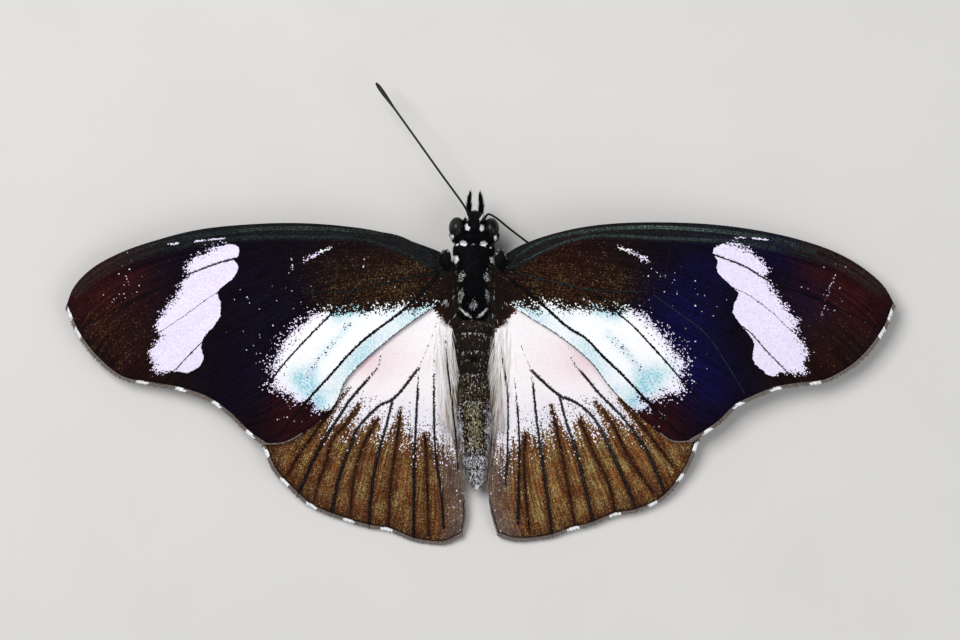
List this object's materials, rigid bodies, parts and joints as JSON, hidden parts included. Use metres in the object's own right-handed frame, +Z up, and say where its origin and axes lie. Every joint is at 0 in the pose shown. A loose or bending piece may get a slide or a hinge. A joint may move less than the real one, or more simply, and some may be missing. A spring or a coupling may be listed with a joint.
{
  "type": "spread butterfly specimen",
  "caption": "Dried butterfly with dark, white-patched wings spread flat, resting on its feet; a display insect for a case, a dome or a diorama.",
  "frame": {"origin": "middle of the whole insect seen from above, on the surface that its feet stand on", "axes": "+Z up, +Y towards the head, +X towards the insect's right wing tip"},
  "size_m": [0.0832, 0.0464, 0.0065],
  "materials": {
    "body_scales": "matte",
    "abdomen_scales": "matte",
    "horn": "satin",
    "eye": "gloss",
    "forewing": "matte",
    "hindwing": "matte",
    "leg": "satin"
  },
  "bodies": {
    "root": {"head": "body_scales", "thorax": "body_scales", "abdomen": "abdomen_scales", "proboscis": "horn", "eye_left": "eye", "eye_right": "eye", "palp_left": "body_scales", "palp_right": "body_scales", "antenna_left": "horn", "antenna_right": "horn", "tegula_left": "body_scales", "tegula_right": "body_scales", "forewing_left": "forewing", "forewing_right": "forewing", "hindwing_left": "hindwing", "hindwing_right": "hindwing", "foreleg_left": "leg", "foreleg_right": "leg", "midleg_left": "leg", "midleg_right": "leg", "hindleg_left": "leg", "hindleg_right": "leg"}
  },
  "joints": []
}
